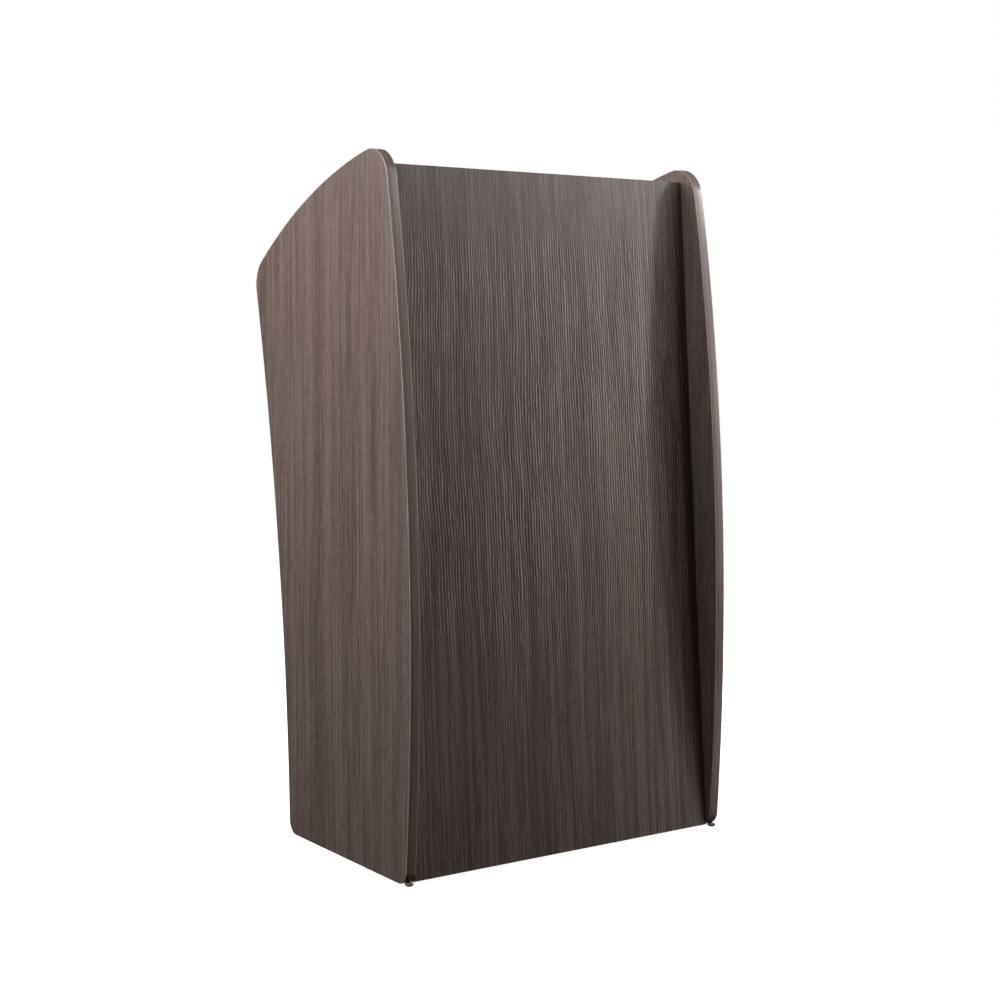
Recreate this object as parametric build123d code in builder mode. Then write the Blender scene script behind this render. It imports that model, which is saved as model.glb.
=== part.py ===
from build123d import *
import os
from math import atan, cos, radians, sin

# A floor-standing presentation lectern, built of flat-pack laminated boards.
# X runs across the lectern, -Y is the audience side, +Y the speaker side, and Z is up.
# The origin is on the floor, under the middle of the lectern. Sizes are in millimetres.

# Boards
WIDTH = 640.0
BOARD = 18.0
BAND = 1.0
INNER = WIDTH / 2 - BOARD

# Side panel outline, as (Y, Z): a bulging front, a domed top and a hollow back
FLOOR_GAP = 1.0
FRONT_FOOT = (-240.6, FLOOR_GAP)
FRONT_TOP = (-181.8, 1159.7)
REAR_TOP = (261.7, 968.9)
REAR_FOOT = (143.0, FLOOR_GAP)
FRONT_BULGE = 39.2
TOP_BULGE = 31.7
REAR_HOLLOW = 24.3
FRONT_TOP_RADIUS = 55.0
REAR_TOP_RADIUS = 50.0
FRONT_FOOT_RADIUS = 25.0
REAR_FOOT_RADIUS = 22.0
CORNERS = (
    (FRONT_TOP, FRONT_TOP_RADIUS),
    (REAR_TOP, REAR_TOP_RADIUS),
    (FRONT_FOOT, FRONT_FOOT_RADIUS),
    (REAR_FOOT, REAR_FOOT_RADIUS),
)

# Front panel: its front face leans back from the foot to the top
PANEL_FOOT = (-232.8, 3.3)
PANEL_TOP = (-154.6, 1128.1)
LEAN = atan((PANEL_TOP[0] - PANEL_FOOT[0]) / (PANEL_TOP[1] - PANEL_FOOT[1]))
PANEL_HEIGHT = (PANEL_TOP[1] - PANEL_FOOT[1]) / cos(LEAN)

# Reading surface, which slopes down to the speaker, and its paper stop
DESK_SLOPE = radians(21)
DESK_REAR = (222.0, 962.0)
DESK_LENGTH = 430.0
STOP_THICKNESS = 12.0
STOP_RISE = 18.0
STOP_ROUND = 2.0

# Shelves: the height of each top face, and where its rear edge stands
UPPER_SHELF_TOP = 800.0
UPPER_SHELF_REAR = 206.0
LOOSE_SHELF_TOP = 486.0
LOOSE_SHELF_REAR = 152.0
LOOSE_SHELF_GAP = 1.0
LOOSE_SHELF_DEPTH = 326.0
BOTTOM_SHELF_TOP = 100.0
BOTTOM_SHELF_REAR = 126.0
SHELF_LENGTH = 420.0

# Toe kick, under the bottom shelf
KICK_FOOT = 14.0
KICK_REAR = 110.0

# Cam and dowel fittings
CAM_INSET = 34.0
CAM_RADIUS = 7.5
CAM_DEPTH = 12.5
CAP_RADIUS = 8.5
CAP_THICKNESS = 1.2
BOLT_RADIUS = 3.0
BOLT_HOLE_RADIUS = 3.6
BOLT_LENGTH = 32.0
THREAD_RADIUS = 2.5
THREAD_LENGTH = 10.5
DOWEL_RADIUS = 4.0
DOWEL_IN_SIDE = 10.0
DOWEL_IN_BOARD = 20.0
DRILL_MARGIN = 0.5
FIT_GAP = 0.05

# Shelf pins, in two columns of holes on each side panel
PIN_RADIUS = 2.5
PIN_HEAD_RADIUS = 3.5
PIN_HEAD_LENGTH = 9.0
PIN_IN_SIDE = 8.0
PIN_PITCH = 32.0
PIN_ROWS = 9
PIN_FIRST = 336.4
PIN_COLUMNS = (-126.0, 110.0)
PIN_CLEARANCE = 0.1

# Paper stop screws
SCREW_SPACING = 160.0
SCREW_COUNT = 4
SCREW_RADIUS = 2.0
SCREW_HEAD_RADIUS = 4.0
SCREW_HEAD_HEIGHT = 2.4
SCREW_LENGTH = 34.0
SCREW_SPOTS = [((i - (SCREW_COUNT - 1) / 2) * SCREW_SPACING, -BOARD / 2) for i in range(SCREW_COUNT)]

# Levelling feet, one at each lower corner of the side panels
FRONT_FOOT_INSET = 4.2
REAR_FOOT_INSET = 6.0
PAD_FLOOR = 1.2
PAD_UNDER_CURVE = 0.35

# Front and rear pads: radius on the floor, full radius, bottom and top of the rim, neck radius, height
# and the dome's bulge
PADS = {
    "front": (4.6, 7.2, 1.8, 3.5, 3.2, 6.1, 0.05),
    "rear": (4.2, 6.2, 1.4, 2.2, 3.2, 3.8, 0.4),
}

# The foot's threaded stud, and the insert that it screws into
STUD_RADIUS = 2.5
STUD_TOP = 58.0
STUD_CHAMFER = 0.6
STUD_HOLE_RADIUS = 2.8
STUD_HOLE_TOP = 62.0
INSERT_RADIUS = 3.4
INSERT_BOTTOM = 22.0
INSERT_LENGTH = 20.0

# The back face of the front panel, and the faces that carry the cam fittings
PANEL_BACK = Plane(
    origin=(0, PANEL_FOOT[0] + BOARD * cos(LEAN), PANEL_FOOT[1] - BOARD * sin(LEAN)),
    x_dir=(1, 0, 0),
    z_dir=(0, cos(LEAN), -sin(LEAN)),
)
DESK_TOP = Plane(
    origin=(0, *DESK_REAR),
    x_dir=(1, 0, 0),
    z_dir=(0, sin(DESK_SLOPE), cos(DESK_SLOPE)),
)
DESK_UNDERSIDE = Plane(origin=DESK_TOP.offset(-BOARD).origin, x_dir=(1, 0, 0), z_dir=-DESK_TOP.z_dir)
DESK_END = Plane(origin=DESK_TOP.origin, x_dir=(-1, 0, 0), z_dir=(0, cos(DESK_SLOPE), -sin(DESK_SLOPE)))


def underside(shelf_top):
    """The lower face of a level board, facing down."""
    return Plane(origin=(0, 0, shelf_top - BOARD), x_dir=(1, 0, 0), z_dir=(0, 0, -1))


KICK_FRONT = Plane(
    origin=(0, KICK_REAR - BOARD, BOTTOM_SHELF_TOP - BOARD), x_dir=(1, 0, 0), z_dir=(0, -1, 0)
)

# For each fixed board: the face its cams open on, then the rows of cams and of dowels along that face
FIXINGS = {
    "upper_shelf": (underside(UPPER_SHELF_TOP), (-160.0, 100.0), (-30.0,)),
    "bottom_shelf": (underside(BOTTOM_SHELF_TOP), (-70.0, 150.0), (40.0,)),
    "reading_surface": (DESK_UNDERSIDE, (60.0, 300.0), (180.0,)),
    "front_panel": (PANEL_BACK, (-150.0, -560.0, -1000.0), (-340.0, -900.0)),
    "toe_kick": (KICK_FRONT, (-34.0,), ()),
}

# For each foot: its side of the lectern and where it stands in Y
FEET = {
    "front_left": (-1, FRONT_FOOT[0] + FRONT_FOOT_INSET),
    "front_right": (1, FRONT_FOOT[0] + FRONT_FOOT_INSET),
    "rear_left": (-1, REAR_FOOT[0] - REAR_FOOT_INSET),
    "rear_right": (1, REAR_FOOT[0] - REAR_FOOT_INSET),
}
FOOT_X = WIDTH / 2 - BOARD / 2


def save(piece, label):
    """Name a finished piece and write it."""
    piece.part.label = label
    export_step(piece.part, f"parts/{label}.step")


def inner_face(side):
    """The inner face of a side panel. Its axes are Y and Z, and it looks along +X."""
    return Plane.YZ.offset(side * INNER)


def spots(plane, points, radius):
    """Equal discs on a plane."""
    with BuildSketch(plane) as discs:
        with Locations(*points):
            Circle(radius)
    return discs.sketch


def cam_spots(rows):
    """Cam centres on a board's face, at both ends of every row."""
    return [(side * (INNER - CAM_INSET), row) for side in (-1, 1) for row in rows]


def end_points(plane, rows):
    """The (Y, Z) points where a board's rows meet the side panels, at the middle of its thickness."""
    points = [plane.from_local_coords((0, row, -BOARD / 2)) for row in rows]
    return [(point.Y, point.Z) for point in points]


def drill_board(name):
    """Cut the cam pockets, bolt holes and dowel holes of the board being built."""
    plane, cams, dowels = FIXINGS[name]
    pockets = spots(plane, cam_spots(cams), CAM_RADIUS + FIT_GAP)
    extrude(pockets, amount=-(CAM_DEPTH + DRILL_MARGIN), mode=Mode.SUBTRACT)
    for side in (-1, 1):
        bolts = spots(inner_face(side), end_points(plane, cams), BOLT_HOLE_RADIUS)
        extrude(bolts, amount=-side * CAM_INSET, mode=Mode.SUBTRACT)
        if dowels:
            pegs = spots(inner_face(side), end_points(plane, dowels), DOWEL_RADIUS + FIT_GAP)
            extrude(pegs, amount=-side * (DOWEL_IN_BOARD + DRILL_MARGIN), mode=Mode.SUBTRACT)


BOLT_POINTS = [point for plane, cams, dowels in FIXINGS.values() for point in end_points(plane, cams)]
DOWEL_POINTS = [point for plane, cams, dowels in FIXINGS.values() for point in end_points(plane, dowels)]
PIN_HOLES = [(y, PIN_FIRST + row * PIN_PITCH) for y in PIN_COLUMNS for row in range(PIN_ROWS)]
PIN_HEIGHT = LOOSE_SHELF_TOP - BOARD - PIN_CLEARANCE - PIN_HEAD_RADIUS
PIN_POINTS = [(y, PIN_HEIGHT) for y in PIN_COLUMNS]


def side_outline(plane, inset=0.0):
    """The outline of a side panel, drawn in from its edge by inset."""
    with BuildSketch(plane) as outline:
        with BuildLine():
            SagittaArc(FRONT_FOOT, FRONT_TOP, FRONT_BULGE)
            SagittaArc(FRONT_TOP, REAR_TOP, TOP_BULGE)
            SagittaArc(REAR_TOP, REAR_FOOT, -REAR_HOLLOW)
            Line(REAR_FOOT, FRONT_FOOT)
        make_face()
        if inset:
            offset(amount=-inset, kind=Kind.INTERSECTION, mode=Mode.REPLACE)
        for corner, radius in CORNERS:
            fillet(outline.vertices().sort_by_distance(corner)[0], radius - inset)
    return outline.sketch


def drill_side(side, points, radius, depth):
    """Cut level holes into the inner face of the side panel being built."""
    extrude(spots(inner_face(side), points, radius), amount=side * depth, mode=Mode.SUBTRACT)


def drill_foot_holes(side):
    """Cut the hole for each foot's stud, and the wider one for its insert, in the piece being built."""
    feet = [(side * FOOT_X, y) for foot_side, y in FEET.values() if foot_side == side]
    extrude(spots(Plane.XY, feet, STUD_HOLE_RADIUS), amount=STUD_HOLE_TOP, mode=Mode.SUBTRACT)
    inserts = spots(Plane.XY.offset(INSERT_BOTTOM), feet, INSERT_RADIUS + FIT_GAP)
    extrude(inserts, amount=INSERT_LENGTH, mode=Mode.SUBTRACT)


os.makedirs("parts", exist_ok=True)

# Side panels: a laminated core, and an edge band glued all round it
for side, word in ((-1, "left"), (1, "right")):
    with BuildPart() as side_panel:
        extrude(side_outline(inner_face(side), BAND), amount=side * BOARD)
        drill_side(side, BOLT_POINTS, THREAD_RADIUS + FIT_GAP, THREAD_LENGTH + DRILL_MARGIN)
        drill_side(side, DOWEL_POINTS, DOWEL_RADIUS + FIT_GAP, DOWEL_IN_SIDE + DRILL_MARGIN)
        drill_side(side, PIN_HOLES, PIN_RADIUS + FIT_GAP, PIN_IN_SIDE + DRILL_MARGIN)
        drill_foot_holes(side)
    save(side_panel, f"{word}_side_panel")

    with BuildPart() as side_band:
        extrude(side_outline(inner_face(side)), amount=side * BOARD)
        extrude(side_outline(inner_face(side), BAND), amount=side * BOARD, mode=Mode.SUBTRACT)
        drill_foot_holes(side)
    save(side_band, f"{word}_side_band")

# Front panel, with its top and bottom edges banded
with BuildPart() as front_panel:
    with BuildSketch(PANEL_BACK):
        with Locations((0, -BAND)):
            Rectangle(2 * INNER, PANEL_HEIGHT - 2 * BAND, align=(Align.CENTER, Align.MAX))
    extrude(amount=-BOARD)
    drill_board("front_panel")
save(front_panel, "front_panel")

for word, start in (("bottom", 0.0), ("top", PANEL_HEIGHT - BAND)):
    with BuildPart() as panel_band:
        with BuildSketch(PANEL_BACK):
            with Locations((0, -start)):
                Rectangle(2 * INNER, BAND, align=(Align.CENTER, Align.MAX))
        extrude(amount=-BOARD)
    save(panel_band, f"front_panel_{word}_band")

# Reading surface, cut off against the front panel
with BuildPart() as reading_surface:
    with BuildSketch(DESK_TOP):
        Rectangle(2 * INNER, DESK_LENGTH, align=(Align.CENTER, Align.MAX))
    extrude(amount=-BOARD)
    split(bisect_by=PANEL_BACK, keep=Keep.TOP)
    drill_board("reading_surface")
    extrude(spots(DESK_END, SCREW_SPOTS, SCREW_RADIUS + FIT_GAP), amount=-SCREW_LENGTH, mode=Mode.SUBTRACT)
save(reading_surface, "reading_surface")

# Paper stop, screwed to the lower end of the reading surface and standing above it
with BuildPart() as paper_stop:
    with BuildSketch(DESK_END):
        with Locations((0, -BOARD)):
            Rectangle(2 * INNER, BOARD + STOP_RISE, align=(Align.CENTER, Align.MIN))
    extrude(amount=STOP_THICKNESS)
    rims = paper_stop.edges().filter_by(Axis.X).group_by(Axis.Z)[-2:]
    fillet([edge for rim in rims for edge in rim], STOP_ROUND)
    extrude(spots(DESK_END, SCREW_SPOTS, SCREW_RADIUS + FIT_GAP), amount=STOP_THICKNESS, mode=Mode.SUBTRACT)
    sinks = spots(DESK_END.offset(STOP_THICKNESS), SCREW_SPOTS, SCREW_HEAD_RADIUS + FIT_GAP)
    extrude(sinks, amount=-SCREW_HEAD_HEIGHT, mode=Mode.SUBTRACT)
save(paper_stop, "paper_stop")

with BuildPart() as stop_screws:
    extrude(spots(DESK_END.offset(STOP_THICKNESS), SCREW_SPOTS, SCREW_RADIUS), amount=-SCREW_LENGTH)
    extrude(spots(DESK_END.offset(STOP_THICKNESS), SCREW_SPOTS, SCREW_HEAD_RADIUS), amount=-SCREW_HEAD_HEIGHT)
save(stop_screws, "paper_stop_screws")


def shelf_sketch(top, rear, depth, width):
    """The plan of a level board, drawn at its lower face and ending at rear."""
    with BuildSketch(Plane.XY.offset(top - BOARD)) as plan:
        with Locations((0, rear)):
            Rectangle(width, depth, align=(Align.CENTER, Align.MAX))
    return plan.sketch


# Fixed shelves, cut off against the front panel, with a banded rear edge
for name, top, rear in (
    ("upper_shelf", UPPER_SHELF_TOP, UPPER_SHELF_REAR),
    ("bottom_shelf", BOTTOM_SHELF_TOP, BOTTOM_SHELF_REAR),
):
    with BuildPart() as shelf:
        extrude(shelf_sketch(top, rear - BAND, SHELF_LENGTH, 2 * INNER), amount=BOARD)
        split(bisect_by=PANEL_BACK, keep=Keep.TOP)
        drill_board(name)
    save(shelf, name)

    with BuildPart() as shelf_band:
        extrude(shelf_sketch(top, rear, BAND, 2 * INNER), amount=BOARD)
    save(shelf_band, f"{name}_band")

# Loose shelf, which lies on four pins
LOOSE_WIDTH = 2 * (INNER - LOOSE_SHELF_GAP)
with BuildPart() as loose_shelf:
    plan = shelf_sketch(LOOSE_SHELF_TOP, LOOSE_SHELF_REAR - BAND, LOOSE_SHELF_DEPTH - BAND, LOOSE_WIDTH)
    extrude(plan, amount=BOARD)
save(loose_shelf, "adjustable_shelf")

with BuildPart() as loose_band:
    extrude(shelf_sketch(LOOSE_SHELF_TOP, LOOSE_SHELF_REAR, BAND, LOOSE_WIDTH), amount=BOARD)
save(loose_band, "adjustable_shelf_band")

# Toe kick, an upright board under the bottom shelf
with BuildPart() as toe_kick:
    with BuildSketch(KICK_FRONT):
        kick_height = BOTTOM_SHELF_TOP - BOARD - KICK_FOOT
        Rectangle(2 * INNER, kick_height, align=(Align.CENTER, Align.MAX))
    extrude(amount=-BOARD)
    drill_board("toe_kick")
save(toe_kick, "toe_kick")

# Cams, their bolts and cover caps, and the wood dowels between them
with BuildPart() as cams:
    for plane, rows, dowels in FIXINGS.values():
        extrude(spots(plane, cam_spots(rows), CAM_RADIUS), amount=-CAM_DEPTH)
    for side in (-1, 1):
        bores = spots(inner_face(side), BOLT_POINTS, BOLT_RADIUS + FIT_GAP)
        extrude(bores, amount=-side * CAM_INSET, mode=Mode.SUBTRACT)
save(cams, "cam_locks")

with BuildPart() as caps:
    for plane, rows, dowels in FIXINGS.values():
        extrude(spots(plane, cam_spots(rows), CAP_RADIUS), amount=CAP_THICKNESS)
save(caps, "cam_cover_caps")

with BuildPart() as bolts:
    for side in (-1, 1):
        extrude(spots(inner_face(side), BOLT_POINTS, THREAD_RADIUS), amount=side * THREAD_LENGTH)
        extrude(spots(inner_face(side), BOLT_POINTS, BOLT_RADIUS), amount=-side * BOLT_LENGTH)
save(bolts, "cam_bolts")

with BuildPart() as dowel_pegs:
    for side in (-1, 1):
        start = inner_face(side).offset(side * DOWEL_IN_SIDE)
        pegs = spots(start, DOWEL_POINTS, DOWEL_RADIUS)
        extrude(pegs, amount=-side * (DOWEL_IN_SIDE + DOWEL_IN_BOARD))
save(dowel_pegs, "wood_dowels")

# Shelf pins: a peg in the side panel and a stouter head under the loose shelf
with BuildPart() as shelf_pins:
    for side in (-1, 1):
        extrude(spots(inner_face(side), PIN_POINTS, PIN_RADIUS), amount=side * PIN_IN_SIDE)
        extrude(spots(inner_face(side), PIN_POINTS, PIN_HEAD_RADIUS), amount=-side * PIN_HEAD_LENGTH)
save(shelf_pins, "shelf_pins")

# Threaded inserts for the feet, bored for a running fit on the studs
FOOT_SPOTS = [(side * FOOT_X, y) for side, y in FEET.values()]
with BuildPart() as inserts:
    extrude(spots(Plane.XY.offset(INSERT_BOTTOM), FOOT_SPOTS, INSERT_RADIUS), amount=INSERT_LENGTH)
    bores = spots(Plane.XY.offset(INSERT_BOTTOM), FOOT_SPOTS, STUD_RADIUS + FIT_GAP)
    extrude(bores, amount=INSERT_LENGTH, mode=Mode.SUBTRACT)
save(inserts, "foot_inserts")

# Levelling feet: a small pad, rounded below and domed above, and the stud that turns in it
for name, (side, y) in FEET.items():
    contact, radius, rim_bottom, rim_top, neck, height, dome = PADS[name.split("_")[0]]
    with BuildPart() as pad:
        with BuildSketch(Plane(origin=(side * FOOT_X, y, 0), x_dir=(1, 0, 0), z_dir=(0, -1, 0))):
            with BuildLine():
                Line((0, 0), (contact, 0))
                SagittaArc((contact, 0), (radius, rim_bottom), PAD_UNDER_CURVE)
                Line((radius, rim_bottom), (radius, rim_top))
                SagittaArc((radius, rim_top), (neck, height), dome)
                Polyline(
                    (neck, height),
                    (STUD_RADIUS + FIT_GAP, height),
                    (STUD_RADIUS + FIT_GAP, PAD_FLOOR),
                    (0, PAD_FLOOR),
                    (0, 0),
                )
            make_face()
        revolve(axis=Axis((side * FOOT_X, y, 0), (0, 0, 1)))
    save(pad, f"foot_pad_{name}")

    with BuildPart() as stud:
        disc = spots(Plane.XY.offset(PAD_FLOOR + FIT_GAP), [(side * FOOT_X, y)], STUD_RADIUS)
        extrude(disc, amount=STUD_TOP - PAD_FLOOR - FIT_GAP)
        chamfer(stud.edges().filter_by(GeomType.CIRCLE).sort_by(Axis.Z)[-1], STUD_CHAMFER)
    save(stud, f"foot_stud_{name}")
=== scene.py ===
from math import cos, hypot, pi, radians, sin

import bmesh
import bpy
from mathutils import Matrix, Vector


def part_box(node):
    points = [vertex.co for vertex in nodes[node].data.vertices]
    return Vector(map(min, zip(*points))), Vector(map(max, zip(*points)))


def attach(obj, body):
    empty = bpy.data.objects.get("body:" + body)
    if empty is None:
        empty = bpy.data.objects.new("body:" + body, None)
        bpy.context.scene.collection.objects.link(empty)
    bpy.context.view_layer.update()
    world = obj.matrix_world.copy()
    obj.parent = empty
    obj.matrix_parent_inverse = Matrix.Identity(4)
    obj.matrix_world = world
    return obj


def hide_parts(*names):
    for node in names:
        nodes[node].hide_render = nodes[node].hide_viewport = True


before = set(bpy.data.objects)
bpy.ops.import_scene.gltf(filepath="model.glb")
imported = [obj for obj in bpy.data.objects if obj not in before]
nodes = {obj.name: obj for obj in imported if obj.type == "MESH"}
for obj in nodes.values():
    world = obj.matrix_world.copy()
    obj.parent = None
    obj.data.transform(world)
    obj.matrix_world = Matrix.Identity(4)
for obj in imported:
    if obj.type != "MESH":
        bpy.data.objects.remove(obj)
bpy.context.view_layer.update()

# The whole scene is in metres. -Y is the audience side, +Y the speaker side, and Z is up.

# Camera: it stands in front of the lectern, to its left, at about desk height
CAMERA_PLACE = (-1.75392, -2.58767, 0.84062)
CAMERA_TURN = -34.48
CAMERA_TILT = 3.15
LENS = 64.55
SHIFT_Y = -0.0549

# Studio lights: name, place, the point it faces, width, height and power in watts
LIGHTS = (
    ("key", (1.49, -0.89, 1.70), (0.30, -0.20, 0.80), 0.25, 0.25, 13.5),
    ("far_right", (3.01, -1.90, 1.10), (0.30, -0.20, 0.80), 0.25, 0.25, 13.5),
    ("softbox", (1.05, -1.61, 2.10), (0.30, -0.20, 0.80), 0.90, 0.90, 12.6),
    ("right_strip", (1.43, -1.37, 0.92), (0.32, -0.22, 0.90), 0.22, 1.30, 2.6),
    ("floor_bounce", (0.60, -0.55, 0.03), (0.34, -0.24, 0.20), 0.22, 0.22, 0.11),
    ("left_high", (-1.78, -0.35, 2.25), (0.00, -0.10, 0.70), 0.60, 0.60, 19.0),
    ("left_low", (-1.77, 0.20, 1.45), (0.00, -0.10, 0.70), 0.80, 0.80, 21.0),
    ("back_left", (-0.25, 2.30, 1.90), (0.00, 0.10, 0.60), 0.90, 0.90, 34.0),
    ("back_right", (1.30, 2.00, 1.60), (0.00, 0.10, 0.60), 0.90, 0.90, 24.0),
)

# Floor and backdrop
FLOOR_HALF = 6.0
FLOOR_SHADE = (0.86, 0.86, 0.86, 1.0)
FLOOR_GLOW = 1.0

# Boards and edge bands. BAND_OVER is the length of a curved band's profile, and the band is paled along its
# arrises, partly as print scraped away and partly as a painted highlight, from PALE_EDGE_START to
# PALE_EDGE_FULL in from the ends of that profile
BOARD = 0.018
BAND = 0.001
ARRIS = 0.0009
ARRIS_STEPS = 4
BAND_OVER = BOARD + 2 * BAND + ARRIS * (pi - 4)
SMALL_ARRIS = 0.0003
PALE_EDGE_START = 0.0019
PALE_EDGE_FULL = 0.0012

# Cam caps and paper stop screws. CAP_TOP is the top of a cap, in shares of its radius and of its height
CAP_HEIGHT = 0.0012
SCREW_HEAD = 0.0024
SCREW_EDGE = 0.0003
RECESS_ARM = 0.0021
RECESS_HALF = 0.00045
RECESS_DEPTH = 0.0013
RECESS_TAPER = 0.6
CAP_TOP = ((0.74, 1.0), (0.71, 0.8), (0.66, 0.8), (0.63, 0.95), (0.3, 1.0), (0, 1.0))

# Mesh building: how near two corners count as one, and two centres as one place; the edge angles that stay
# sharp or are bevelled; and the steps in a full turn
SAME_POINT = 0.00001
SAME_PLACE = 0.0001
SHARP = radians(35)
BEVELLED = radians(50)
TURN_STEPS = 56

# How a board is turned from one whose grain stands upright
PANEL_LEAN = radians(3.977)
UPRIGHT = (0.0, 0.0, 0.0)
LEANING = (-PANEL_LEAN, 0.0, 0.0)
LEVEL = (0.0, pi / 2, 0.0)

scene = bpy.context.scene


# Shader building

def new_material(name):
    """A new material, its node tree and its Principled shader."""
    material = bpy.data.materials.new(name)
    material.use_nodes = True
    tree = material.node_tree
    return material, tree, tree.nodes["Principled BSDF"]


def plug(tree, value, socket):
    """Feed an input socket with a constant or with another node's output."""
    if isinstance(value, bpy.types.NodeSocket):
        tree.links.new(value, socket)
    else:
        socket.default_value = value


def math(tree, operation, first, second=0.0, third=0.0):
    """One arithmetic step between numbers or node outputs."""
    step = tree.nodes.new("ShaderNodeMath")
    step.operation = operation
    for value, socket in zip((first, second, third), step.inputs):
        plug(tree, value, socket)
    return step.outputs[0]


def vector_math(tree, operation, first, second):
    """One step between two vectors."""
    step = tree.nodes.new("ShaderNodeVectorMath")
    step.operation = operation
    plug(tree, first, step.inputs[0])
    plug(tree, second, step.inputs[1])
    return step.outputs[0]


def noise(tree, space, across, along, detail=2.0, rough=0.5):
    """Noise near 0.5, with so many cells a metre across the grain and along it."""
    texture = tree.nodes.new("ShaderNodeTexNoise")
    scaled = vector_math(tree, "MULTIPLY", space, (across, across, along))
    tree.links.new(scaled, texture.inputs["Vector"])
    texture.inputs["Scale"].default_value = 1.0
    texture.inputs["Detail"].default_value = detail
    texture.inputs["Roughness"].default_value = rough
    return texture.outputs["Fac"]


def stretch(tree, value, low, high, new_low=0.0, new_high=1.0):
    """Map low..high to new_low..new_high, smoothly and without going past the ends."""
    ranged = tree.nodes.new("ShaderNodeMapRange")
    ranged.interpolation_type = "SMOOTHSTEP"
    for part, socket in zip((value, low, high, new_low, new_high), ranged.inputs):
        plug(tree, part, socket)
    return ranged.outputs[0]


def ramp(tree, value, stops):
    """A colour ramp with the given (position, colour) stops."""
    made = tree.nodes.new("ShaderNodeValToRGB")
    band = made.color_ramp
    while len(band.elements) < len(stops):
        band.elements.new(0.5)
    for element, (position, colour) in zip(band.elements, stops):
        element.position = position
        element.color = (*colour, 1.0)
    tree.links.new(value, made.inputs[0])
    return made.outputs[0]


def bump(tree, shader, height, depth):
    """Raise the surface by up to depth metres where height is 1."""
    raised = tree.nodes.new("ShaderNodeBump")
    raised.inputs["Strength"].default_value = 1.0
    raised.inputs["Distance"].default_value = depth
    tree.links.new(height, raised.inputs["Height"])
    tree.links.new(raised.outputs[0], shader.inputs["Normal"])


def grain_space(tree, turn, shift):
    """Metres in the board's own axes, with Z along its grain, moved so that no two boards match."""
    coords = tree.nodes.new("ShaderNodeTexCoord")
    turned = tree.nodes.new("ShaderNodeMapping")
    turned.vector_type = "TEXTURE"
    turned.inputs["Location"].default_value = (shift, 0.61 * shift, 0.37 * shift)
    turned.inputs["Rotation"].default_value = turn
    tree.links.new(coords.outputs["Object"], turned.inputs["Vector"])
    return turned.outputs[0]


def strip_space(tree):
    """The same for a curved edge band, from its own map: U runs along the band and V over it."""
    coords = tree.nodes.new("ShaderNodeTexCoord")
    split = tree.nodes.new("ShaderNodeSeparateXYZ")
    tree.links.new(coords.outputs["UV"], split.inputs[0])
    joined = tree.nodes.new("ShaderNodeCombineXYZ")
    tree.links.new(split.outputs["Y"], joined.inputs["X"])
    tree.links.new(split.outputs["X"], joined.inputs["Z"])
    return joined.outputs[0]


# Materials

DARK_GRAIN = (0.112, 0.079, 0.069)
MID_GRAIN = (0.172, 0.124, 0.108)
PALE_GRAIN = (0.240, 0.178, 0.156)
BAND_DARK = (0.158, 0.112, 0.098)
BAND_MID = (0.240, 0.174, 0.152)
BAND_PALE = (0.330, 0.246, 0.216)
# Pale along a curved band's arrises: scraped print and a painted highlight
SCRAPED_AND_HIGHLIGHT = (0.62, 0.55, 0.50)

# How far the grain drifts sideways over a board's length, and wanders over a hand's length, in metres
DRIFT = 0.030
WANDER = 0.004

# The ridges, and how many ridge widths they waver by, slowly and quickly
RIDGES_PER_METRE = 200.0
SLOW_WAVER = 2.0
QUICK_WAVER = 0.7

# Shares of streaks and fibres in the print, the share of fibres in the relief, how much rougher the dull
# streaks are, and the least that the painted groove shade leaves of the print's brightness
STREAK_SHARE = 0.34
FIBRE_SHARE = 0.20
FIBRE_RELIEF = 0.15
DULLER = 0.10
DARKEST = 0.12

# Plain and deep woodgrain: the embossing's depth in metres, how far painted shade darkens the print in the
# grooves and whether relief and painted shade fade at the ends and the left; then the print's strength
# (lowered on the front panel as painted shade), softness and shares of broad bands and short ticks; then
# the least roughness
PLAIN_GRAIN = {
    "relief": 0.00022, "painted_groove_shade": 0.18, "fading": False,
    "colour": 1.00, "soft": 0.120, "bands": 0.16, "ticks": 0.40, "roughness": 0.30,
}
DEEP_GRAIN = {
    "relief": 0.00060, "painted_groove_shade": 2.50, "fading": True,
    # The front panel's print is toned down to 0.90: painted shade on that board alone
    "colour": 0.90, "soft": 0.078, "bands": 0.26, "ticks": 0.26, "roughness": 0.38,
}

# Where deep embossing and its painted groove shade fade, in metres: up from the foot, up to the top, and in
# from the left; the painted shade is kept strongest where the lights graze the front panel
FOOT_FADE = (0.26, 0.48)
TOP_FADE = (0.97, 1.06)
LEFT_FADE = (-0.32, 0.02)


def wavering(tree, straight):
    """The grain's own space, drifting sideways as it goes along, as a sliced log's grain does."""
    slow = noise(tree, straight, across=3.0, along=1.1, detail=1.0)
    quick = noise(tree, straight, across=16.0, along=4.0, detail=1.0)
    drift = math(tree, "MULTIPLY", math(tree, "SUBTRACT", slow, 0.5), DRIFT)
    shove = math(tree, "MULTIPLY_ADD", math(tree, "SUBTRACT", quick, 0.5), WANDER, drift)
    sideways = tree.nodes.new("ShaderNodeCombineXYZ")
    tree.links.new(shove, sideways.inputs["X"])
    tree.links.new(shove, sideways.inputs["Y"])
    return vector_math(tree, "ADD", straight, sideways.outputs[0])


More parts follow.
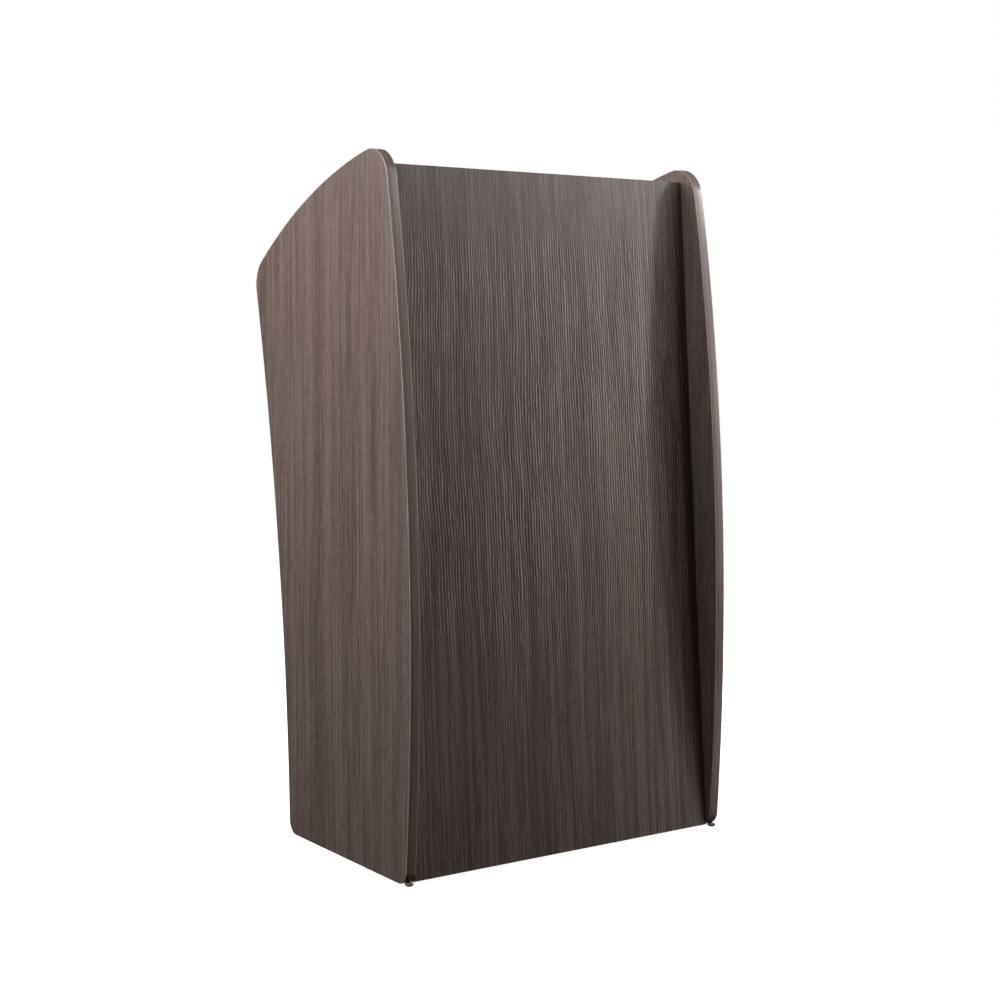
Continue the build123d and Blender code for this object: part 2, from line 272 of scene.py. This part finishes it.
def ridge_lines(tree, space):
    """Fine wavering ridges along the grain, from 0 in a groove to 1 on a crest."""
    split = tree.nodes.new("ShaderNodeSeparateXYZ")
    tree.links.new(space, split.inputs[0])
    across = math(tree, "ADD", split.outputs["X"], split.outputs["Y"])
    slow = noise(tree, space, across=22.0, along=7.0, detail=1.0)
    quick = noise(tree, space, across=70.0, along=30.0, detail=1.0)
    phase = math(tree, "MULTIPLY", across, RIDGES_PER_METRE)
    phase = math(tree, "MULTIPLY_ADD", slow, SLOW_WAVER, phase)
    phase = math(tree, "MULTIPLY_ADD", quick, QUICK_WAVER, phase)
    return math(tree, "MULTIPLY", math(tree, "PINGPONG", phase, 0.5), 2.0)


def ridge_strength(tree, space, fading):
    """How strong the ridges are: they break every centimetre or two and are stronger in some patches."""
    breaks = noise(tree, space, across=110.0, along=40.0, detail=1.0)
    patches = noise(tree, space, across=7.0, along=2.4, detail=1.0)
    broken = stretch(tree, breaks, 0.30, 0.60, 0.25, 1.0)
    patchy = stretch(tree, patches, 0.30, 0.60, 0.60, 1.0)
    strength = math(tree, "MULTIPLY", broken, patchy)
    # The fades weaken the relief and the painted groove shade together, so the painted shade is strongest
    # where the lights graze
    if fading:
        coords = tree.nodes.new("ShaderNodeTexCoord")
        place = tree.nodes.new("ShaderNodeSeparateXYZ")
        tree.links.new(coords.outputs["Object"], place.inputs[0])
        at_foot = stretch(tree, place.outputs["Z"], *FOOT_FADE, 0.25, 1.0)
        at_top = stretch(tree, place.outputs["Z"], *TOP_FADE, 1.0, 0.14)
        at_left = stretch(tree, place.outputs["X"], *LEFT_FADE, 0.50, 1.0)
        for fade in (at_foot, at_top, at_left):
            strength = math(tree, "MULTIPLY", strength, fade)
    return strength


def grain_print(tree, space, streaks, fibres, grain):
    """The printed colour: broad bands, streaks, fibres and short ticks along the grain."""
    bands = noise(tree, space, across=30.0, along=0.6)
    ticks = noise(tree, space, across=700.0, along=45.0, detail=1.0)
    tone = math(tree, "MULTIPLY", bands, grain["bands"])
    tone = math(tree, "MULTIPLY_ADD", streaks, STREAK_SHARE, tone)
    tone = math(tree, "MULTIPLY_ADD", fibres, FIBRE_SHARE, tone)
    tone = math(tree, "MULTIPLY_ADD", ticks, grain["ticks"], tone)
    middle = (STREAK_SHARE + FIBRE_SHARE + grain["bands"] + grain["ticks"]) / 2
    soft = grain["soft"]
    stops = ((middle - soft, DARK_GRAIN), (middle, MID_GRAIN), (middle + soft, PALE_GRAIN))
    return ramp(tree, tone, stops)


def woodgrain(name, turn, shift, grain=PLAIN_GRAIN):
    """Dark grey-brown woodgrain laminate, printed in bands and embossed with fine lines along the grain."""
    material, tree, shader = new_material(name)
    space = wavering(tree, grain_space(tree, turn, shift))
    streaks = noise(tree, space, across=120.0, along=1.8, detail=3.0, rough=0.6)
    fibres = stretch(tree, noise(tree, space, across=420.0, along=3.0, rough=0.6), 0.30, 0.70)
    ridges = ridge_lines(tree, space)
    strength = ridge_strength(tree, space, grain["fading"])

    # Painted shade: the print is darkened in the grooves and paled on the crests, standing in for the
    # embossing's shading
    signed = math(tree, "MULTIPLY", math(tree, "SUBTRACT", ridges, 0.5), strength)
    shading = math(tree, "MULTIPLY_ADD", signed, grain["painted_groove_shade"], grain["colour"])
    shaded = tree.nodes.new("ShaderNodeVectorMath")
    shaded.operation = "SCALE"
    tree.links.new(grain_print(tree, space, streaks, fibres, grain), shaded.inputs[0])
    tree.links.new(math(tree, "MAXIMUM", shading, DARKEST), shaded.inputs["Scale"])
    tree.links.new(shaded.outputs[0], shader.inputs["Base Color"])

    raised = math(tree, "MULTIPLY", ridges, strength)
    bump(tree, shader, math(tree, "MULTIPLY_ADD", fibres, FIBRE_RELIEF, raised), grain["relief"])
    dull, glossy = grain["roughness"] + DULLER, grain["roughness"]
    tree.links.new(stretch(tree, streaks, 0.35, 0.65, dull, glossy), shader.inputs["Roughness"])
    return material


def scraped_and_highlit_arrises(tree, colour, space):
    """Pale the band along its two arrises: print scraped away in flush trimming, and a painted highlight.
    """
    split = tree.nodes.new("ShaderNodeSeparateXYZ")
    tree.links.new(space, split.inputs[0])
    half = BAND_OVER / 2
    off_centre = math(tree, "ABSOLUTE", math(tree, "SUBTRACT", split.outputs["X"], half))
    wear = noise(tree, space, across=200.0, along=9.0, detail=3.0, rough=0.7)
    worn = stretch(tree, wear, 0.35, 0.60, 0.45, 1.0)
    edge = stretch(tree, off_centre, half - PALE_EDGE_START, half - PALE_EDGE_FULL)
    mix = tree.nodes.new("ShaderNodeMix")
    mix.data_type = "RGBA"
    tree.links.new(math(tree, "MULTIPLY", edge, worn), mix.inputs["Factor"])
    tree.links.new(colour, mix.inputs[6])
    mix.inputs[7].default_value = (*SCRAPED_AND_HIGHLIGHT, 1.0)
    return mix.outputs[2]


def edge_band(name, curved):
    """The PVC edge band, printed to match: plainer and a little paler than the boards."""
    material, tree, shader = new_material(name)
    space = strip_space(tree) if curved else grain_space(tree, LEVEL, 0.0)
    streaks = noise(tree, space, across=130.0, along=2.0, detail=3.0, rough=0.6)
    fibres = noise(tree, space, across=600.0, along=12.0, rough=0.6)
    scuffs = noise(tree, space, across=700.0, along=160.0, detail=3.0, rough=0.7)
    tone = math(tree, "MULTIPLY", streaks, 0.65)
    tone = math(tree, "MULTIPLY_ADD", fibres, 0.35, tone)
    colour = ramp(tree, tone, ((0.34, BAND_DARK), (0.50, BAND_MID), (0.66, BAND_PALE)))
    if curved:
        colour = scraped_and_highlit_arrises(tree, colour, space)
    tree.links.new(colour, shader.inputs["Base Color"])
    tree.links.new(stretch(tree, scuffs, 0.35, 0.70, 0.30, 0.40), shader.inputs["Roughness"])
    bump(tree, shader, math(tree, "MULTIPLY_ADD", scuffs, 0.4, fibres), depth=0.00008)
    return material


def zinc_steel():
    """Zinc plated steel, with cloudy plating and fine turning marks."""
    material, tree, shader = new_material("zinc_plate")
    space = grain_space(tree, UPRIGHT, 0.0)
    clouds = noise(tree, space, across=260.0, along=260.0, detail=3.0, rough=0.6)
    marks = noise(tree, space, across=900.0, along=4000.0, rough=0.6)
    colour = ramp(tree, clouds, ((0.30, (0.52, 0.53, 0.55)), (0.70, (0.76, 0.76, 0.77))))
    tree.links.new(colour, shader.inputs["Base Color"])
    shader.inputs["Metallic"].default_value = 1.0
    tree.links.new(stretch(tree, marks, 0.30, 0.70, 0.36, 0.54), shader.inputs["Roughness"])
    bump(tree, shader, marks, depth=0.00003)
    return material


def moulded_plastic(name, dark, pale, rough):
    """Moulded plastic with a fine spark-eroded texture and slight scuffs."""
    material, tree, shader = new_material(name)
    space = grain_space(tree, UPRIGHT, 0.0)
    speckle = noise(tree, space, across=2600.0, along=2600.0, rough=0.6)
    scuffs = noise(tree, space, across=180.0, along=180.0, detail=4.0, rough=0.7)
    tree.links.new(ramp(tree, scuffs, ((0.35, dark), (0.70, pale))), shader.inputs["Base Color"])
    tree.links.new(stretch(tree, scuffs, 0.35, 0.70, rough, rough + 0.12), shader.inputs["Roughness"])
    bump(tree, shader, speckle, depth=0.00004)
    return material


def beech():
    """Plain turned beech, with short dark flecks along the dowel."""
    material, tree, shader = new_material("beech")
    space = grain_space(tree, LEVEL, 0.0)
    streaks = noise(tree, space, across=900.0, along=30.0, detail=3.0, rough=0.6)
    flecks = noise(tree, space, across=2400.0, along=260.0, detail=1.0)
    colour = ramp(tree, streaks, ((0.30, (0.50, 0.34, 0.19)), (0.70, (0.72, 0.54, 0.34))))
    tree.links.new(colour, shader.inputs["Base Color"])
    shader.inputs["Roughness"].default_value = 0.62
    bump(tree, shader, math(tree, "MULTIPLY_ADD", flecks, 0.5, streaks), depth=0.00010)
    return material


# Geometry

def dress(node, material):
    """Give a CAD node its finish."""
    node.data.materials.clear()
    node.data.materials.append(material)


def soften(node):
    """Take the sharpness off a CAD node's edges, inside its own outline."""
    weld = node.modifiers.new("weld", "WELD")
    weld.merge_threshold = SAME_POINT
    bevel = node.modifiers.new("arris", "BEVEL")
    bevel.width = SMALL_ARRIS
    bevel.segments = 2
    bevel.limit_method = "ANGLE"
    bevel.angle_limit = BEVELLED
    bevel.use_clamp_overlap = True
    bevel.harden_normals = True


def add_piece(name, bm, material, body, replaced):
    """Make an object from a bmesh, riding on its body in place of the CAD node."""
    mesh = bpy.data.meshes.new(name)
    bm.normal_update()
    bm.to_mesh(mesh)
    bm.free()
    for face in mesh.polygons:
        face.use_smooth = True
    mesh.set_sharp_from_angle(angle=SHARP)
    mesh.materials.append(material)
    piece = bpy.data.objects.new(name, mesh)
    scene.collection.objects.link(piece)
    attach(piece, body)
    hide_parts(replaced)


def discs(node):
    """The flat round faces of a node's solids, each as its centre, outward direction and radius."""
    bm = bmesh.new()
    bm.from_mesh(node.data)
    bmesh.ops.remove_doubles(bm, verts=bm.verts, dist=SAME_POINT)
    bmesh.ops.dissolve_limit(bm, angle_limit=radians(1), verts=bm.verts, edges=bm.edges)
    found = []
    for face in bm.faces:
        if len(face.verts) > 12:
            centre = sum((vert.co for vert in face.verts), Vector()) / len(face.verts)
            found.append((centre, face.normal.copy(), (face.verts[0].co - centre).length))
    bm.free()
    return found


def round_axes(axis):
    """Two directions square to an axis and to each other."""
    across = axis.orthogonal().normalized()
    return across, axis.cross(across)


def lathe(bm, centre, axis, profile):
    """Turn a profile of (radius, height) points about an axis, and give back its last ring."""
    across, beside = round_axes(axis)
    turns = [2 * pi * step / TURN_STEPS for step in range(TURN_STEPS)]
    spokes = [across * cos(turn) + beside * sin(turn) for turn in turns]
    rings = []
    for radius, height in profile:
        middle = centre + axis * height
        if radius == 0:
            rings.append([bm.verts.new(middle)])
        else:
            rings.append([bm.verts.new(middle + spoke * radius) for spoke in spokes])
    for low, high in zip(rings, rings[1:]):
        for step in range(TURN_STEPS):
            after = (step + 1) % TURN_STEPS
            below = (low[step % len(low)], low[after % len(low)])
            above = (high[after % len(high)], high[step % len(high)])
            bm.faces.new(list(dict.fromkeys(below + above)))
    return rings[-1]


def cross_recess(bm, centre, axis, rim):
    """Close a screw head's rim with a flat top and a tapered cross recess."""
    across, beside = round_axes(axis)
    corners = []
    for quarter in range(4):
        turn = pi / 2 * quarter
        for u, v in ((RECESS_ARM, -RECESS_HALF), (RECESS_ARM, RECESS_HALF), (RECESS_HALF, RECESS_HALF)):
            corners.append(Vector((u * cos(turn) - v * sin(turn), u * sin(turn) + v * cos(turn))))
    arms = [across * corner.x + beside * corner.y for corner in corners]
    mouth = [bm.verts.new(centre + arm) for arm in arms]
    pit = [bm.verts.new(centre + arm * RECESS_TAPER - axis * RECESS_DEPTH) for arm in arms]
    ring_edges = [bm.edges.get(pair) for pair in zip(rim, rim[1:] + rim[:1])]
    mouth_edges = [bm.edges.new(pair) for pair in zip(mouth, mouth[1:] + mouth[:1])]
    bmesh.ops.triangle_fill(bm, use_beauty=True, edges=ring_edges + mouth_edges, normal=axis)
    for index in range(len(mouth)):
        after = (index + 1) % len(mouth)
        bm.faces.new((mouth[index], mouth[after], pit[after], pit[index]))
    bm.faces.new(pit)


def cap_profile(radius):
    """Half of a cap's outline: a rounded rim, a shallow ring and a barely domed middle."""
    rim = 0.55 * CAP_HEIGHT
    profile = [(0, 0), (radius, 0), (radius, CAP_HEIGHT - rim)]
    for step in range(1, ARRIS_STEPS + 1):
        turn = pi / 2 * step / ARRIS_STEPS
        profile.append((radius - rim * (1 - cos(turn)), CAP_HEIGHT - rim * (1 - sin(turn))))
    profile += [(reach * radius, rise * CAP_HEIGHT) for reach, rise in CAP_TOP]
    return profile


def cover_caps(material):
    """Moulded caps over the cams."""
    cams = [centre for centre, axis, radius in discs(nodes["cam_locks"])]
    bm = bmesh.new()
    for centre, axis, radius in discs(nodes["cam_cover_caps"]):
        if any((centre - cam).length < SAME_PLACE for cam in cams):
            lathe(bm, centre, -axis, cap_profile(radius))
    bmesh.ops.recalc_face_normals(bm, faces=bm.faces)
    add_piece("cam_caps", bm, material, "cabinet", "cam_cover_caps")


def stop_screws(material):
    """Flat-headed screws with a cross recess, flush with the face of the paper stop."""
    found = discs(nodes["paper_stop_screws"])
    widest = max(radius for centre, axis, radius in found)
    heads = [(centre, axis) for centre, axis, radius in found if radius > 0.9 * widest and axis.y > 0]
    tips = [centre for centre, axis, radius in found if radius < 0.6 * widest]
    bm = bmesh.new()
    for centre, axis in heads:
        length = min((centre - tip).length for tip in tips)
        shank = 0.5 * widest
        profile = [(0, -length), (shank, -length), (shank, -SCREW_HEAD), (widest, -SCREW_HEAD)]
        profile += [(widest, -SCREW_EDGE), (widest - SCREW_EDGE, 0)]
        rim = lathe(bm, centre, axis, profile)
        cross_recess(bm, centre, axis, rim)
    bmesh.ops.recalc_face_normals(bm, faces=bm.faces)
    add_piece("stop_screws", bm, material, "cabinet", "paper_stop_screws")


def outline_of(node):
    """The outer outline of a side band, as (Y, Z) points in order."""
    bm = bmesh.new()
    bm.from_mesh(node.data)
    bmesh.ops.remove_doubles(bm, verts=bm.verts, dist=SAME_POINT)
    low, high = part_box(node.name)
    middle = Vector((0, (low[1] + high[1]) / 2, (low[2] + high[2]) / 2))
    rim = {}
    for edge in bm.edges:
        if any(abs(vert.co.x - high[0]) > SAME_POINT for vert in edge.verts):
            continue
        for face in edge.link_faces:
            outward = face.calc_center_median() - middle
            if abs(face.normal.x) < 0.5 and face.normal.dot(outward) > 0:
                start, end = (vert.index for vert in edge.verts)
                rim.setdefault(start, []).append(end)
                rim.setdefault(end, []).append(start)
    bm.verts.ensure_lookup_table()
    order = [next(iter(rim))]
    while True:
        nexts = [index for index in rim[order[-1]] if index not in order]
        if not nexts:
            break
        order.append(nexts[0])
    points = [(bm.verts[index].co.y, bm.verts[index].co.z) for index in order]
    bm.free()
    return points


def band_profile(low_x, high_x):
    """Points across a side band as (depth below its outer face, X), with both outer arrises rounded."""
    turns = [pi / 2 * step / ARRIS_STEPS for step in range(ARRIS_STEPS + 1)]
    profile = [(BAND, low_x)]
    for turn in turns:
        profile.append((ARRIS * (1 - sin(turn)), low_x + ARRIS * (1 - cos(turn))))
    for turn in turns:
        profile.append((ARRIS * (1 - cos(turn)), high_x - ARRIS * (1 - sin(turn))))
    profile.append((BAND, high_x))
    return profile


def side_band(word, material):
    """An edge band swept round a side panel, mapped in metres along it and over it."""
    node = nodes[f"{word}_side_band"]
    low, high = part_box(node.name)
    points = [Vector(point) for point in outline_of(node)]
    area = sum(a.x * b.y - b.x * a.y for a, b in zip(points, points[1:] + points[:1]))
    if area < 0:
        points.reverse()
    count = len(points)

    profile = band_profile(low[0], high[0])
    over = [0.0]
    for (depth_a, x_a), (depth_b, x_b) in zip(profile, profile[1:]):
        over.append(over[-1] + hypot(depth_b - depth_a, x_b - x_a))

    bm = bmesh.new()
    rings, lengths = [], [0.0]
    for index, point in enumerate(points):
        before, after = points[index - 1], points[(index + 1) % count]
        along = ((after - point).normalized() + (point - before).normalized()).normalized()
        inward = Vector((-along.y, along.x))
        places = [(point + inward * depth, x) for depth, x in profile]
        rings.append([bm.verts.new((x, place.x, place.y)) for place, x in places])
        lengths.append(lengths[-1] + (after - point).length)

    uv = bm.loops.layers.uv.new("strip")
    for index, (start, end) in enumerate(zip(lengths, lengths[1:])):
        first, second = rings[index], rings[(index + 1) % count]
        strips = []
        for step, (near, far) in enumerate(zip(over, over[1:])):
            corners = (first[step], second[step], second[step + 1], first[step + 1])
            strips.append((corners, near, far))
        strips.append(((first[-1], second[-1], second[0], first[0]), 0.0, BAND))
        for corners, near, far in strips:
            face = bm.faces.new(corners)
            for loop, mark in zip(face.loops, ((start, near), (end, near), (end, far), (start, far))):
                loop[uv].uv = mark
    bmesh.ops.recalc_face_normals(bm, faces=bm.faces)
    add_piece(f"{word}_edge_band", bm, material, "cabinet", node.name)


def make_camera():
    """The camera, with a small vertical shift."""
    data = bpy.data.cameras.new("camera")
    data.lens = LENS
    data.sensor_width = 36
    data.shift_y = SHIFT_Y
    camera = bpy.data.objects.new("camera", data)
    camera.location = CAMERA_PLACE
    camera.rotation_euler = (radians(90 - CAMERA_TILT), 0, radians(CAMERA_TURN))
    scene.collection.objects.link(camera)
    scene.camera = camera


def make_floor():
    """A pale studio floor that glows for the camera alone, so that it stays white to the horizon."""
    half = FLOOR_HALF
    corners = [(-half, -half, 0), (half, -half, 0), (half, half, 0), (-half, half, 0)]
    mesh = bpy.data.meshes.new("floor")
    mesh.from_pydata(corners, [], [(0, 1, 2, 3)])
    floor = bpy.data.objects.new("floor", mesh)
    scene.collection.objects.link(floor)
    material, tree, shader = new_material("floor")
    shader.inputs["Base Color"].default_value = FLOOR_SHADE
    shader.inputs["Roughness"].default_value = 0.9
    shader.inputs["Emission Color"].default_value = (1, 1, 1, 1)
    shader.inputs["Emission Strength"].default_value = FLOOR_GLOW
    mesh.materials.append(material)
    floor.visible_diffuse = False
    floor.visible_glossy = False


def make_world():
    """A white surround that the camera sees and that lights nothing."""
    world = bpy.data.worlds.new("studio")
    world.use_nodes = True
    world.node_tree.nodes["Background"].inputs["Color"].default_value = (1, 1, 1, 1)
    world.node_tree.nodes["Background"].inputs["Strength"].default_value = 1.0
    scene.world = world
    world.cycles_visibility.diffuse = False
    world.cycles_visibility.glossy = False


def make_lights():
    """The area lights, which the camera doesn't see."""
    for name, place, target, width, height, power in LIGHTS:
        data = bpy.data.lights.new(name, "AREA")
        data.shape = "RECTANGLE"
        data.size = width
        data.size_y = height
        data.energy = power
        lamp = bpy.data.objects.new(name, data)
        lamp.location = place
        aim = Vector(target) - Vector(place)
        lamp.rotation_euler = aim.to_track_quat("-Z", "Y").to_euler()
        lamp.visible_camera = False
        scene.collection.objects.link(lamp)


make_camera()
make_floor()
make_world()
make_lights()

boards = {
    "left_side_panel": (UPRIGHT, 3.1),
    "right_side_panel": (UPRIGHT, 7.7),
    "front_panel": (LEANING, 12.4, DEEP_GRAIN),
    "reading_surface": (LEVEL, 17.3),
    "paper_stop": (LEVEL, 21.9),
    "upper_shelf": (LEVEL, 26.2),
    "adjustable_shelf": (LEVEL, 31.8),
    "bottom_shelf": (LEVEL, 36.5),
    "toe_kick": (LEVEL, 41.6),
}
for name, grain in boards.items():
    dress(nodes[name], woodgrain(f"woodgrain_{name}", *grain))

curved_band = edge_band("edge_band_curved", True)
straight_band = edge_band("edge_band_straight", False)
for word in ("left", "right"):
    side_band(word, curved_band)
for name in ("front_panel_top_band", "front_panel_bottom_band", "upper_shelf_band", "bottom_shelf_band",
             "adjustable_shelf_band"):
    dress(nodes[name], straight_band)
    soften(nodes[name])

steel = zinc_steel()
for name in ("cam_locks", "cam_bolts", "shelf_pins", "foot_inserts"):
    dress(nodes[name], steel)
cap_plastic = moulded_plastic("cap_plastic", (0.070, 0.058, 0.051), (0.115, 0.098, 0.088), 0.42)
cover_caps(cap_plastic)
stop_screws(steel)
dress(nodes["wood_dowels"], beech())
foot_plastic = moulded_plastic("foot_plastic", (0.125, 0.110, 0.102), (0.225, 0.203, 0.190), 0.20)
for corner in ("front_left", "front_right", "rear_left", "rear_right"):
    dress(nodes[f"foot_pad_{corner}"], foot_plastic)
    dress(nodes[f"foot_stud_{corner}"], steel)

scene.view_settings.view_transform = "Standard"
